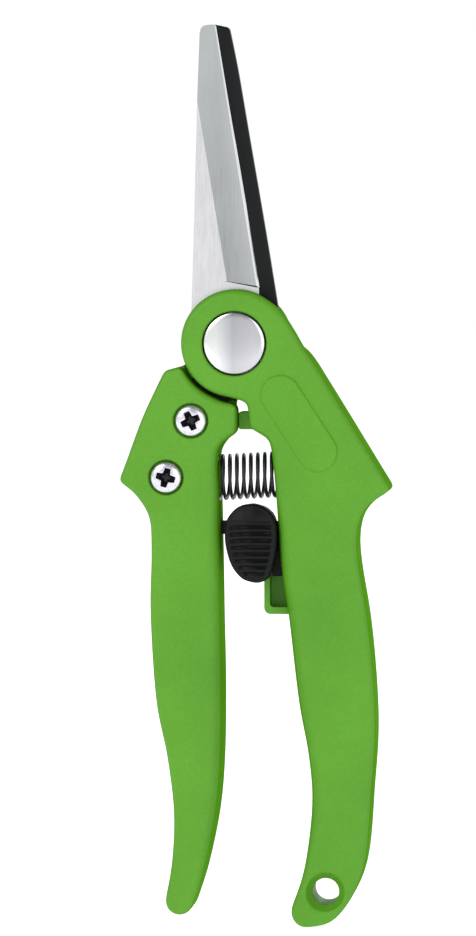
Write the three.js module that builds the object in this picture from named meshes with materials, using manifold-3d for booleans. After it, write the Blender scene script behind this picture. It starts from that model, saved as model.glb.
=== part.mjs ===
// Bypass pruning snips, closed. Millimetres; +Z to the blade tips, -Y to the front face.
// The pivot axis is the Y axis, and the two blades meet on the plane y = 0.
import * as THREE from 'three';
import { mergeVertices } from 'three/addons/utils/BufferGeometryUtils.js';
import Module from 'manifold-3d';

// Handles
const HALF = 7.0; // half of a handle's depth
const EDGE = 2.0; // rounding of its long edges
const WALL = 2.6; // front and back wall of the hollow grips
const PARTING = 0.04; // half of the seam between front and back shell
const FRONT_RING_R = 11.3;
const BACK_RING_R = 11.5;
const ARC_R = 12.25; // the other handle's edge round a ring
const RING_BORE_R = 6.75;
const RING_INNER = 2.2; // depth at which a ring ends, next to the blades
const CURVE_STEPS = 3;

// Blades
const BLADE_NEAR = 0.1;
const BLADE_FAR = 1.95;
const HUB_R = 10.6;
const TANG_HALF_WIDTH = 4.4;

// Pivot
const BOLT_HEAD_R = 6.45;
const SHANK_R = 3.0;
const RUNNING_GAP = 0.08;

// Screws, as [x, z]
const LEFT_SCREWS = [[-9.1, -16.2], [-14.3, -28.1]];
const RIGHT_SCREWS = [[11.3, -13.2], [17.3, -25.0]];
const SCREW_HEAD_R = 3.35;
const SCREW_R = 1.75;
const SCREW_SEAT = 5.6; // depth of the head's seat from the middle plane
const SCREW_END = 4.3;

// Spring
const SPRING_R = 4.55; // to the middle of the wire
const WIRE_R = 0.37;
const SPRING_TURNS = 10.5;
const SPRING_LEFT = [-4.85, -28.4];
const SPRING_RIGHT = [9.35, -27.6];

// Lock
const LOCK_FRONT = -8.1;
const LOCK_BACK = -1.7;
const PLATE_HALF = 1.5;
const CATCH_HALF = 1.3;
const RIBS = 9;
const RIB_PITCH = 1.45;

// Raised oval thumb pad, from end to end of its middle line
const PAD = [[9.9, -10.2], [17.3, -22.9]];
const PAD_HALF_WIDTH = 4.4;
const PAD_HEIGHT = 0.25;

// Hanging hole
const HANG = [19.2, -115.0];
const HANG_R = 2.8;
const HANG_RECESS_R = 3.9;

const wasm = await Module();
wasm.setup();

// A three.js geometry as a solid.
function solid(geometry) {
  geometry.deleteAttribute('normal');
  geometry.deleteAttribute('uv');
  const merged = mergeVertices(geometry, 1e-4);
  const triangles = [];
  for (let i = 0; i < merged.index.count; i += 3) {
    const corner = [0, 1, 2].map((k) => merged.index.getX(i + k));
    if (new Set(corner).size === 3) triangles.push(...corner);
  }
  return new wasm.Manifold(new wasm.Mesh({
    numProp: 3,
    vertProperties: merged.attributes.position.array,
    triVerts: new Uint32Array(triangles),
  }));
}

// A shape drawn in x and z, between two depths, with its edges rounded by edge.
function plate(shape, front, back, edge = 0) {
  const geometry = new THREE.ExtrudeGeometry(shape, {
    depth: back - front - 2 * edge,
    bevelEnabled: edge > 0,
    bevelThickness: edge,
    bevelSize: edge,
    bevelOffset: -edge,
    bevelSegments: 3,
    curveSegments: CURVE_STEPS,
  });
  geometry.rotateX(Math.PI / 2);
  geometry.translate(0, back - edge, 0);
  return solid(geometry);
}

// A profile of [radius, depth] from front to back, turned round an axis along Y.
function turned(profile, x = 0, z = 0, segments = 28) {
  const points = profile.map(([r, y]) => new THREE.Vector2(r, y));
  return solid(new THREE.LatheGeometry(points, segments).translate(x, 0, z));
}

function rod([x, z], radius, front, back, segments = 28) {
  const geometry = new THREE.CylinderGeometry(radius, radius, back - front, segments);
  return solid(geometry.translate(x, (front + back) / 2, z));
}

function block(x0, x1, y0, y1, z0, z1) {
  const geometry = new THREE.BoxGeometry(x1 - x0, y1 - y0, z1 - z0);
  return solid(geometry.translate((x0 + x1) / 2, (y0 + y1) / 2, (z0 + z1) / 2));
}

const FRONT_HALF = block(-60, 60, -20, -PARTING, -150, 80);
const BACK_HALF = block(-60, 60, PARTING, 20, -150, 80);

const points = (list) => list.map(([x, z]) => new THREE.Vector2(x, z));

// A closed outline of straight lines.
const polygon = (list) => new THREE.Shape(points(list));

// A strip with round ends, from one point to another.
function capsule([x0, z0], [x1, z1], radius) {
  const along = Math.atan2(z1 - z0, x1 - x0);
  const shape = new THREE.Shape();
  shape.absarc(x0, z0, radius, along + Math.PI / 2, along + 1.5 * Math.PI);
  shape.absarc(x1, z1, radius, along - Math.PI / 2, along + Math.PI / 2);
  return shape;
}

// Part of a circle, from one angle in degrees to another, in steps of about gap degrees.
function arc(shape, [x, z], radius, from, to, gap = 7.5) {
  const steps = Math.ceil((to - from) / gap);
  for (let i = 0; i <= steps; i++) {
    const angle = THREE.MathUtils.degToRad(from + ((to - from) * i) / steps);
    shape.lineTo(x + radius * Math.cos(angle), z + radius * Math.sin(angle));
  }
}

// ---------- outlines of the handles, [x, z] ----------

// The right handle with the front ring: up round the ring, down the inner edge, round the
// end and up the outer edge with its finger guard.
const rightShape = new THREE.Shape();
rightShape.moveTo(14.4, -0.8);
rightShape.splineThru(points([[12.4, 2.7], [9.6, 6.8], [6.4, 9.3]]));
arc(rightShape, [0, 0], FRONT_RING_R, 61, 264);
rightShape.lineTo(1.2, -11.9);
rightShape.lineTo(2.7, -12.4);
rightShape.lineTo(2.9, -14.3);
rightShape.lineTo(3.2, -17.8);
rightShape.lineTo(5.4, -18.9);
rightShape.lineTo(7.3, -20.2);
rightShape.lineTo(7.8, -22.7);
rightShape.splineThru(points([
  [8.7, -32], [9.6, -45.7], [11.3, -57.4], [13.4, -75], [15.5, -86.7], [16.2, -97],
  [14.7, -110.2], [12.0, -118.5],
]));
arc(rightShape, [15.1, -119.5], 3.2, 175, 262, 22);
rightShape.splineThru(points([
  [21.4, -120.6], [27.2, -110.2], [29, -92.6], [29.7, -80.9], [29.2, -69.2], [28, -57.4],
  [26.2, -46.5], [25.8, -40.5], [26.8, -35.8], [29.2, -32.9],
]));
rightShape.lineTo(32.7, -30.4);
rightShape.lineTo(30.2, -26);
rightShape.splineThru(points([[23.6, -15.2], [16.6, -3.9]]));

// The left handle with the back ring, the same way round.
const leftShape = new THREE.Shape();
leftShape.moveTo(-10.3, -5.3);
leftShape.lineTo(-14.7, -5.7);
leftShape.splineThru(points([[-19.2, -15.2], [-22.7, -24.6]]));
leftShape.lineTo(-24.1, -28.8);
leftShape.lineTo(-21.1, -31.4);
leftShape.splineThru(points([
  [-18.0, -36.4], [-17.5, -44], [-17.7, -57], [-16.5, -75], [-14.2, -86.7], [-12.8, -98.5],
  [-13.2, -109], [-14.5, -116.6],
]));
arc(leftShape, [-11.6, -117.3], 3.0, 190, 335, 24);
leftShape.splineThru(points([
  [-6.2, -110.2], [-3.7, -98.5], [-2.7, -87], [-2.5, -72], [-2.8, -57], [-3.1, -40], [-3.7, -26],
]));
leftShape.lineTo(-3.6, -22.4);
leftShape.lineTo(-2.4, -20.6);
leftShape.lineTo(0.5, -18.6);
leftShape.lineTo(0.5, -11.49);
arc(leftShape, [0, 0], BACK_RING_R, -84, 204);

// The hollows inside the grips.
const rightHollowShape = polygon([
  [25, -54.5], [12.9, -54.5], [14, -58], [16.1, -75], [18.2, -86.7], [19, -97], [18.6, -106],
  [24.8, -106], [26.2, -92.6], [26.9, -80.9], [26.5, -69.2], [25.4, -57.4],
]);
const leftHollowShape = polygon([
  [-5.8, -44], [-14.8, -44], [-14.9, -57], [-13.7, -75], [-11.4, -87], [-10.2, -98],
  [-10.2, -106], [-8.2, -106], [-6.4, -98], [-5.4, -87], [-5.2, -72], [-5.5, -57],
]);

// ---------- right handle ----------

const [hangX, hangZ] = HANG;

// A round seat along X for one end of the spring, open towards dir, with its centre peg.
function springSeat([x, z], dir) {
  const along = (radius, length, from) => {
    const cylinder = new THREE.CylinderGeometry(radius, radius, length, 28);
    return solid(cylinder.rotateZ(Math.PI / 2).translate(from + (dir * length) / 2, 0, z));
  };
  const floor = x - dir * (WIRE_R + 0.15);
  return { well: along(SPRING_R + 0.55, 6, floor), peg: along(SPRING_R - 1.0, 4.2, floor - dir) };
}

const leftSeat = springSeat(SPRING_LEFT, 1);
const rightSeat = springSeat(SPRING_RIGHT, -1);

const thumbPad = plate(capsule(...PAD, PAD_HALF_WIDTH), -HALF - PAD_HEIGHT, -HALF + 1.5, 0.3);
const stopLug = plate(polygon([[0.65, -18.1], [5.8, -18.1], [5.8, -14.4], [0.65, -14.4]]), -2.6, 2.6, 0.5);
const tray = wasm.Manifold.union([
  block(5.9, 7.15, -1.4, 3.2, -57, -49),
  block(5.9, 12.6, -1.4, 3.2, -57, -55.5),
  block(5.9, 12.6, 1.9, 3.2, -57, -48.6),
]);
const slideSlot = block(6, 11.7, -1.0, 1.0, -48.4, -36.0);

const rightSolid = plate(rightShape, -HALF, HALF, EDGE)
  .subtract(rightSeat.well)
  .add(rightSeat.peg)
  .add(thumbPad)
  .add(stopLug)
  .add(tray)
  .subtract(slideSlot);

// The hollow of a grip, crossed by ribs at some heights.
function hollow(shape, ribs) {
  const kept = ribs.map((z) => block(-40, 40, -8, 8, z - 0.8, z + 0.8));
  return plate(shape, -HALF + WALL, HALF - WALL, 1).subtract(wasm.Manifold.union(kept));
}

const rightHollow = hollow(rightHollowShape, [-72, -90]);
const hangBore = rod(HANG, HANG_R, -10, 10, 36);
const hangRecess = (side) => turned(
  side < 0
    ? [[0, -9], [HANG_RECESS_R, -9], [HANG_RECESS_R, -HALF + 0.6], [HANG_R, -HALF + 1.6],
      [0, -HALF + 1.6]]
    : [[0, HALF - 1.6], [HANG_R, HALF - 1.6], [HANG_RECESS_R, HALF - 0.6],
      [HANG_RECESS_R, 9], [0, 9]],
  hangX, hangZ, 36,
);

const rightTang = [[4.4, -4.0], [18.7, -27.5]];
const leftTang = [[-3.5, -5.5], [-14.8, -29.2]];
const tangPocket = (ends, front, back) => plate(capsule(...ends, TANG_HALF_WIDTH + 0.2), front, back);

const rightFront = wasm.Manifold.difference([
  rightSolid.intersect(FRONT_HALF),
  rod([0, 0], ARC_R, -RING_INNER, 1, 64),
  rod([0, 0], RING_BORE_R, -8, 0, 56),
  block(2, 40, -RING_INNER, 1, -0.9, 20),
  tangPocket(rightTang, -BLADE_FAR - 0.15, 1),
  rightHollow,
  hangBore,
  hangRecess(-1),
  ...RIGHT_SCREWS.map((at) => rod(at, SCREW_R + 0.2, -SCREW_END - 0.3, 1, 20)),
]);

const rightBack = wasm.Manifold.difference([
  rightSolid.intersect(BACK_HALF),
  rod([0, 0], ARC_R, -1, 9, 64),
  block(-20, 40, -1, 9, -0.9, 20),
  rightHollow,
  hangBore,
  hangRecess(1),
  ...RIGHT_SCREWS.map((at) => rod(at, SCREW_R + 0.2, -1, 9, 20)),
  ...RIGHT_SCREWS.map((at) => rod(at, SCREW_HEAD_R + 0.25, SCREW_SEAT, 9, 32)),
]);

// ---------- left handle ----------

// The catch that the lock's finger hooks behind: a steel arm with a tooth pointing down. Its
// wide root sits in a pocket between the shells.
const lockCatch = plate(polygon([
  [1.5, -37.4], [-5.8, -37.4], [-5.8, -36.3], [-9.2, -36.3], [-9.2, -41.3], [-5.8, -41.3],
  [-5.8, -40.2], [0.3, -40.2], [0.3, -41.5], [1.5, -41.5],
]), -CATCH_HALF, CATCH_HALF);
const catchPocket = plate(polygon([
  [0, -37.3], [-5.7, -37.3], [-5.7, -36.2], [-9.3, -36.2], [-9.3, -41.4], [-5.7, -41.4],
  [-5.7, -40.3], [0, -40.3],
]), -CATCH_HALF - 0.1, CATCH_HALF + 0.1);

const leftSolid = plate(leftShape, -HALF, HALF, EDGE)
  .subtract(leftSeat.well)
  .add(leftSeat.peg)
  .subtract(catchPocket);
const leftHollow = hollow(leftHollowShape, [-60, -77, -93]);

const leftFront = wasm.Manifold.difference([
  leftSolid.intersect(FRONT_HALF),
  rod([0, 0], ARC_R, -9, 1, 64),
  block(-14, 20, -9, 1, -4.9, 20),
  leftHollow,
  ...LEFT_SCREWS.map((at) => rod(at, SCREW_R + 0.2, -9, 1, 20)),
  ...LEFT_SCREWS.map((at) => rod(at, SCREW_HEAD_R + 0.25, -9, -SCREW_SEAT, 32)),
]);

const leftBack = wasm.Manifold.difference([
  leftSolid.intersect(BACK_HALF),
  rod([0, 0], ARC_R, -1, RING_INNER, 64),
  rod([0, 0], RING_BORE_R, 0, 8, 56),
  block(-0.4, 4, -1, 9, -19.6, -10.5),
  tangPocket(leftTang, -1, BLADE_FAR + 0.15),
  leftHollow,
  ...LEFT_SCREWS.map((at) => rod(at, SCREW_R + 0.2, -1, SCREW_END + 0.3, 20)),
]);

// ---------- blades ----------

const bladeBore = rod([0, 0], SHANK_R + RUNNING_GAP, -3, 3, 40);

// The front blade with its nearly straight back and cutting edge, and its tang.
const frontBladeShape = new THREE.Shape();
frontBladeShape.moveTo(4.9, 6);
frontBladeShape.lineTo(4.85, 11.3);
frontBladeShape.splineThru(points([[3.5, 20.2], [1.75, 30.6], [0.05, 40.6], [-1.25, 48], [-4.3, 66.3]]));
frontBladeShape.quadraticCurveTo(-4.5, 66.8, -5, 66.8);
frontBladeShape.lineTo(-7.0, 66.4);
frontBladeShape.quadraticCurveTo(-7.65, 66.2, -7.7, 65.6);
frontBladeShape.splineThru(points([[-8.2, 49.2], [-8.85, 24.1], [-9.35, 7.5]]));
frontBladeShape.lineTo(-9.9, 2);

// The ground face slopes from its upper boundary, a line up the blade, to the edge.
const groundLow = new THREE.Vector3(-1.9, -BLADE_FAR, 13);
const groundHigh = new THREE.Vector3(-7.9, -BLADE_FAR, 49);
const groundEdge = new THREE.Vector3(2.1, -0.5, 30.6);
const up = groundHigh.clone().sub(groundLow).normalize();
const outward = groundEdge.clone().sub(groundLow).cross(up).normalize();
const across = outward.clone().cross(up);
const grindBox = new THREE.BoxGeometry(140, 40, 4)
  .translate(0, 0, 2)
  .applyMatrix4(new THREE.Matrix4().makeBasis(up, across, outward))
  .translate(groundLow.x, groundLow.y, groundLow.z);
const grindArea = polygon([[-2.6, 13.0], [8, 11.0], [12, 70], [-14, 70], [-14, 40]]);
const grind = solid(grindBox).intersect(plate(grindArea, -6, 0.5));

const frontBlade = wasm.Manifold.difference([
  wasm.Manifold.union([
    plate(frontBladeShape, -BLADE_FAR, -BLADE_NEAR),
    rod([0, 0], HUB_R, -BLADE_FAR, -BLADE_NEAR, 48),
    plate(capsule(...rightTang, TANG_HALF_WIDTH), -BLADE_FAR, -BLADE_NEAR),
  ]),
  grind,
  bladeBore,
  ...RIGHT_SCREWS.map((at) => rod(at, SCREW_R + 0.2, -3, 3, 20)),
]);

// The back blade: its cutting edge is hidden behind the front blade, its back is straight.
const backBladeShape = new THREE.Shape();
backBladeShape.moveTo(0.4, 8);
backBladeShape.lineTo(9.9, 3.5);
backBladeShape.lineTo(8.6, 8.1);
backBladeShape.splineThru(points([[6.7, 19.8], [4.6, 32.1], [2.6, 43.6], [0.3, 57], [-1.4, 65.4]]));
backBladeShape.quadraticCurveTo(-1.7, 66.2, -2.6, 66.4);
backBladeShape.lineTo(-4.4, 66.8);
backBladeShape.quadraticCurveTo(-5.2, 66.9, -5.5, 66.0);
backBladeShape.splineThru(points([[-3.2, 46], [-1.3, 30], [0.2, 14]]));

// Its edge is ground from the back.
const backGrind = solid(
  new THREE.BoxGeometry(6, 3, 60)
    .translate(-3, 1.5, 0)
    .rotateZ(THREE.MathUtils.degToRad(24))
    .rotateY(THREE.MathUtils.degToRad(-5.6))
    .translate(0.1, BLADE_FAR, 42),
);

const backBlade = wasm.Manifold.difference([
  wasm.Manifold.union([
    plate(backBladeShape, BLADE_NEAR, BLADE_FAR),
    rod([0, 0], HUB_R, BLADE_NEAR, BLADE_FAR, 48),
    plate(capsule(...leftTang, TANG_HALF_WIDTH), BLADE_NEAR, BLADE_FAR),
  ]),
  backGrind,
  bladeBore,
  ...LEFT_SCREWS.map((at) => rod(at, SCREW_R + 0.2, -3, 3, 20)),
]);

// ---------- pivot ----------

const pivotBolt = turned([
  [0, -6.75], [2.4, -6.72], [4.6, -6.6], [5.9, -6.4], [BOLT_HEAD_R, -6.0],
  [BOLT_HEAD_R, -BLADE_FAR - 0.1], [SHANK_R, -BLADE_FAR - 0.1], [SHANK_R, 6.5], [2.5, 7.0], [0, 7.0],
], 0, 0, 40);

const pivotWasher = turned([
  [SHANK_R + 0.1, BLADE_FAR + 0.1], [6.2, BLADE_FAR + 0.1], [6.3, BLADE_FAR + 0.3],
  [6.3, 3.0], [6.2, 3.15], [SHANK_R + 0.1, 3.15], [SHANK_R + 0.1, BLADE_FAR + 0.1],
], 0, 0, 32);

const nutOuter = turned([[0, 3.2], [5.2, 3.2], [5.75, 3.5], [5.75, 5.6], [4.7, 5.9], [4.4, 6.7], [0, 6.7]],
  0, 0, 30);
const nutHex = solid(new THREE.CylinderGeometry(5.75, 5.75, 8, 6).translate(0, 5, 0));
const pivotNut = nutOuter.intersect(nutHex).subtract(rod([0, 0], SHANK_R + 0.1, 2, 9, 32));

// ---------- screws ----------

// A cross-recess pan head screw that goes in from the front.
function screw([x, z]) {
  const seat = -SCREW_SEAT - 0.04;
  const head = turned([
    [0, seat - 2.15], [1.3, seat - 2.05], [2.4, seat - 1.65], [3.1, seat - 0.95],
    [SCREW_HEAD_R, seat - 0.1], [SCREW_HEAD_R, seat], [SCREW_R, seat], [SCREW_R, 3.2],
    [0.5, SCREW_END], [0, SCREW_END],
  ], x, z, 20);
  const arms = [-20, 70].map((turn) => solid(
    new THREE.BoxGeometry(3.6, 2.4, 0.8)
      .rotateY(THREE.MathUtils.degToRad(turn))
      .translate(x, seat - 2.2, z),
  ));
  return head.subtract(arms[0]).subtract(arms[1]);
}

// The same screw from the back.
const screwFromBack = ([x, z]) => screw([-x, z]).rotate([0, 0, 180]);

// ---------- spring ----------

class Coil extends THREE.Curve {
  getPoint(t, target = new THREE.Vector3()) {
    const turn = 2 * Math.PI * SPRING_TURNS * t;
    const [[x0, z0], [x1, z1]] = [SPRING_LEFT, SPRING_RIGHT];
    return target.set(
      x0 + (x1 - x0) * t,
      -SPRING_R * Math.cos(turn),
      z0 + (z1 - z0) * t - SPRING_R * Math.sin(turn),
    );
  }
}

const wireSection = new THREE.Shape().absarc(0, 0, WIRE_R, 0, 2 * Math.PI);
const spring = solid(new THREE.ExtrudeGeometry(wireSection, {
  steps: 147,
  extrudePath: new Coil(),
  bevelEnabled: false,
  curveSegments: 3,
}));

// ---------- lock ----------

const buttonShape = new THREE.Shape();
buttonShape.moveTo(4.0, -33.5);
buttonShape.splineThru(points([
  [0.7, -34.3], [-1.6, -37.0], [-2.0, -40.1], [-1.7, -43.0], [-0.6, -46.5], [1.4, -49.1], [3.5, -50.0],
]));
buttonShape.lineTo(5.4, -50.1);
buttonShape.splineThru(points([
  [7.2, -49.1], [8.1, -46.6], [8.8, -43.0], [8.95, -39.5], [8.4, -36.5], [6.6, -34.4], [4.0, -33.5],
]));

const grooves = [];
for (let i = 0; i < RIBS; i++) {
  grooves.push(solid(
    new THREE.BoxGeometry(20, 2, 0.6)
      .rotateY(THREE.MathUtils.degToRad(-2))
      .translate(3.3, LOCK_FRONT - 0.4, -37.4 - i * RIB_PITCH),
  ));
}
// The button sits on a boss of the plate below it, in a blind hole. Its underside is cut back
// at the top, so that it clears the spring when the lock is up.
const BOSS = [5.2, -39.5];
const BOSS_R = 1.7;
const BOSS_TOP = -4.3;
const LOCK_UP = 1.3;
const roomRadius = SPRING_R + WIRE_R + 0.35;
const springRoom = solid(
  new THREE.CylinderGeometry(roomRadius, roomRadius, 20, 40)
    .rotateZ(Math.PI / 2)
    .translate(4, 0, SPRING_LEFT[1] - LOCK_UP),
);
const lockButton = plate(buttonShape, LOCK_FRONT, LOCK_BACK, 1.5)
  .subtract(wasm.Manifold.union(grooves))
  .subtract(springRoom)
  .subtract(rod(BOSS, BOSS_R + 0.1, BOSS_TOP - 0.2, 0, 24));

// The plate under the button: boss, finger, tongue in the handle's slot, tail in the tray.
const slideShape = polygon([
  [2.4, -35.6], [7.6, -35.6], [8.3, -37.5], [11.0, -37.5], [11.0, -43.5], [9.1, -43.5],
  [9.65, -49.0], [7.6, -49.0], [7.5, -44.4], [-1.6, -44.4], [-1.6, -42.0], [-0.3, -42.0],
  [-0.3, -43.2], [2.4, -43.2],
]);
const tonguePart = block(8.5, 12, -0.8, 0.8, -45, -36);
const lockSlide = plate(slideShape, -PLATE_HALF, PLATE_HALF)
  .subtract(block(8.6, 12, -3, 3, -43.6, -36).subtract(tonguePart))
  .add(rod(BOSS, BOSS_R, BOSS_TOP, 0, 24));

// ---------- scene ----------

const GREEN = { color: 0x68af3a, roughness: 0.42, metalness: 0 };
const SILVER = { color: 0xd6d8da, roughness: 0.3, metalness: 1 };
const BLACK_STEEL = { color: 0x23282a, roughness: 0.45, metalness: 0.6 };
const ZINC = { color: 0xb9b7c4, roughness: 0.32, metalness: 1 };
const BLACK_PLASTIC = { color: 0x232527, roughness: 0.6, metalness: 0 };

const group = new THREE.Group();
group.name = 'bypass_snips';

function add(name, shape, look) {
  const made = shape.getMesh();
  const geometry = new THREE.BufferGeometry();
  geometry.setAttribute('position', new THREE.BufferAttribute(made.vertProperties, 3));
  geometry.setIndex(new THREE.BufferAttribute(made.triVerts, 1));
  geometry.computeVertexNormals();
  const mesh = new THREE.Mesh(geometry, new THREE.MeshStandardMaterial(look));
  mesh.name = name;
  group.add(mesh);
}

add('right_handle_front', rightFront, GREEN);
add('right_handle_back', rightBack, GREEN);
add('left_handle_front', leftFront, GREEN);
add('left_handle_back', leftBack, GREEN);
add('front_blade', frontBlade, SILVER);
add('back_blade', backBlade, BLACK_STEEL);
add('pivot_bolt', pivotBolt, SILVER);
add('pivot_washer', pivotWasher, ZINC);
add('pivot_nut', pivotNut, ZINC);
add('left_screw_upper', screw(LEFT_SCREWS[0]), ZINC);
add('left_screw_lower', screw(LEFT_SCREWS[1]), ZINC);
add('right_screw_upper', screwFromBack(RIGHT_SCREWS[0]), ZINC);
add('right_screw_lower', screwFromBack(RIGHT_SCREWS[1]), ZINC);
add('spring', spring, BLACK_STEEL);
add('lock_catch', lockCatch, BLACK_STEEL);
add('lock_button', lockButton, BLACK_PLASTIC);
add('lock_slide', lockSlide, BLACK_PLASTIC);

export default group;
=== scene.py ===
import math

import bmesh
import bpy
import numpy as np
from mathutils import Matrix, Vector
from mathutils.geometry import delaunay_2d_cdt


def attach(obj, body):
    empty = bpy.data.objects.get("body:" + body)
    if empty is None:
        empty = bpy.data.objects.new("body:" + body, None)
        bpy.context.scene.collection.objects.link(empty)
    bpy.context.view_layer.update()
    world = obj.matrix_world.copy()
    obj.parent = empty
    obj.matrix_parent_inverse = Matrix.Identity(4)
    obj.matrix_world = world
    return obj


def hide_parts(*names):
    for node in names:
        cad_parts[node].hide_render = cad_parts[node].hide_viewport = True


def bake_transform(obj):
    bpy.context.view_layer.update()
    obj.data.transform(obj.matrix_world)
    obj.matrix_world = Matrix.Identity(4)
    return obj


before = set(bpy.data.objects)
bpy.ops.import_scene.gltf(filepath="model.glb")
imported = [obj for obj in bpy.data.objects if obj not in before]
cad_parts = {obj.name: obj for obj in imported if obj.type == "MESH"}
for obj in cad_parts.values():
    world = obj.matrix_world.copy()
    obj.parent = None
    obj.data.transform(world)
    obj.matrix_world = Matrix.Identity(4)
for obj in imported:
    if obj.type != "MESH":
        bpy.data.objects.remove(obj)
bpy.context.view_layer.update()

MM = 0.001

# ---------------------------------------------------------------- dimensions, in mm

HALF = 7.0  # half of a handle's depth
PARTING = 0.004  # half of the seam between the shells
CROWN = 0.4  # how much the faces of the handles bulge
ARC_R = 12.25
RING_BORE_R = 6.75
RING_INNER = 2.2
BOLT_HEAD_R = 6.45
BLADE_NEAR, BLADE_FAR = 0.1, 1.95
HUB_R = 10.6  # the blades' round hubs
TANG_R = 4.4
LEFT_TANG = ((-3.5, -5.5), (-14.8, -29.2))
RIGHT_TANG = ((4.4, -4.0), (18.7, -27.5))
LEFT_SCREWS = [(-9.1, -16.2), (-14.3, -28.1)]
RIGHT_SCREWS = [(11.3, -13.2), (17.3, -25.0)]
SCREW_SEAT = 5.6
HANG = (19.2, -115.0)
SPRING_LEFT, SPRING_RIGHT = (-4.85, -28.4), (9.35, -27.6)
SPRING_R, WIRE_R, SPRING_TURNS = 4.55, 0.37, 10.5
SPRING_ROOM_R = SPRING_R + WIRE_R + 0.35
LOCK_UP = 1.3  # how far the lock slides up from rest
BUTTON_BACK = 1.75
BOSS, BOSS_HOLE_R = (5.2, -39.5), 1.8
TRAY_WALL = 7.15  # inner side of the lock tray's left wall
TRAY_TOP = -49.0

# ---------------------------------------------------------------- outlines in x and z


def spline(start, points, per=8):
    """Catmull-Rom curve from start through the points, without start itself."""
    pts = np.array([start] + list(points), float)
    out = []
    for i in range(len(pts) - 1):
        p0, p1, p2 = pts[max(i - 1, 0)], pts[i], pts[i + 1]
        p3 = pts[min(i + 2, len(pts) - 1)]
        v0, v1 = (p2 - p0) / 2, (p3 - p1) / 2
        for k in range(1, per + 1):
            t = k / per
            out.append(
                tuple(
                    (2 * p1 - 2 * p2 + v0 + v1) * t**3
                    + (-3 * p1 + 3 * p2 - 2 * v0 - v1) * t**2
                    + v0 * t
                    + p1
                )
            )
    return out


def arc(centre, radius, start, end, gap=3.0):
    steps = max(2, math.ceil(abs(end - start) / gap))
    angles = [math.radians(start + (end - start) * i / steps) for i in range(steps + 1)]
    return [(centre[0] + radius * math.cos(a), centre[1] + radius * math.sin(a)) for a in angles]


def capsule(a, b, radius, gap=6.0):
    along = math.degrees(math.atan2(b[1] - a[1], b[0] - a[0]))
    return arc(a, radius, along + 90, along + 270, gap) + arc(b, radius, along - 90, along + 90, gap)


def even(points, spacing, passes):
    """The closed outline again with even spacing, its corners rounded by passes of smoothing."""
    p = np.array(points, float)
    closed = np.vstack([p, p[:1]])
    run = np.concatenate([[0], np.cumsum(np.linalg.norm(np.diff(closed, axis=0), axis=1))])
    count = int(round(run[-1] / spacing))
    at = np.linspace(0, run[-1], count, endpoint=False)
    q = np.stack([np.interp(at, run, closed[:, k]) for k in (0, 1)], 1)
    for _ in range(passes):
        q = q * 0.5 + (np.roll(q, 1, 0) + np.roll(q, -1, 0)) * 0.25
    return q


RIGHT_GRIP = [
    (8.7, -32), (9.6, -45.7), (11.3, -57.4), (13.4, -75), (15.5, -86.7), (16.2, -97),
    (14.7, -110.2), (12.0, -118.5),
]
RIGHT_OUTER = [
    (21.4, -120.6), (27.2, -110.2), (29, -92.6), (29.7, -80.9), (29.2, -69.2), (28, -57.4),
    (26.2, -46.5), (25.8, -40.5), (26.8, -35.8), (29.2, -32.9),
]


def right_lower():
    """The right handle from the top of its inner edge round to the top of its outer edge."""
    out = [(2.7, -12.4), (2.9, -14.3), (3.2, -17.8), (5.4, -18.9), (7.3, -20.2), (7.8, -22.7)]
    out += spline(out[-1], RIGHT_GRIP)
    out += arc((15.1, -119.5), 3.2, 175, 262, 10)
    out += spline(out[-1], RIGHT_OUTER)
    out += [(32.95, -30.5), (30.2, -26)]
    return out + spline(out[-1], [(23.6, -15.2), (16.6, -3.9)])


right_front_outline = (
    [(14.4, -0.8)]
    + spline((14.4, -0.8), [(12.4, 2.7), (9.6, 6.8), (6.4, 9.3)])
    + arc((0, 0), 11.3, 61, 264)
    + [(1.2, -11.9)]
    + right_lower()
)
right_back_outline = right_lower() + [(15.6, -2.6), (14.2, -0.95), (12.25, -0.95)]
right_back_outline += arc((0, 0), ARC_R, -6, -76.5)

LEFT_OUTER = [
    (-18.0, -36.4), (-17.5, -44), (-17.7, -57), (-16.5, -75), (-14.2, -86.7), (-12.8, -98.5),
    (-13.2, -109), (-14.5, -116.6),
]
LEFT_GRIP = [
    (-6.2, -110.2), (-3.7, -98.5), (-2.7, -87), (-2.5, -72), (-2.8, -57), (-3.1, -40), (-3.7, -26),
]


def left_lower(nose):
    """The left handle from its top corner down the outer edge and up to its nose."""
    out = [(-14.7, -5.7)] + spline((-14.7, -5.7), [(-19.2, -15.2), (-22.7, -24.6)])
    out += [(-24.3, -28.9), (-21.1, -31.4)]
    out += spline(out[-1], LEFT_OUTER)
    out += arc((-11.6, -117.3), 3.0, 190, 335, 10)
    out += spline(out[-1], LEFT_GRIP)
    return out + [(-3.6, -22.4), (-2.4, -20.6), (nose, -18.6)]


left_front_outline = left_lower(0.45) + [(0.45, -13.1)]
left_front_outline += arc((0, 0), ARC_R + 0.35, 267, 258) + arc((0, 0), ARC_R, 245, 204.5) + [(-11.6, -4.95)]
left_back_outline = left_lower(-0.4) + arc((0, 0), 11.5, -92, 204)

# ---------------------------------------------------------------- materials


def nodes_of(name):
    material = bpy.data.materials.new(name)
    material.use_nodes = True
    tree = material.node_tree
    return material, tree, tree.nodes["Principled BSDF"]


def link(tree, a, out, b, into):
    tree.links.new(a.outputs[out], b.inputs[into])


def add_node(tree, kind, **values):
    node = tree.nodes.new(kind)
    for key, value in values.items():
        if key in node.inputs:
            node.inputs[key].default_value = value
        else:
            setattr(node, key, value)
    return node


def object_coords(tree, scale=(1, 1, 1)):
    """Object coordinates in millimetres, times scale."""
    coords = add_node(tree, "ShaderNodeTexCoord")
    mapping = add_node(tree, "ShaderNodeMapping")
    mapping.inputs["Scale"].default_value = [s * 1000 for s in scale]
    link(tree, coords, "Object", mapping, "Vector")
    return mapping


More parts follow.
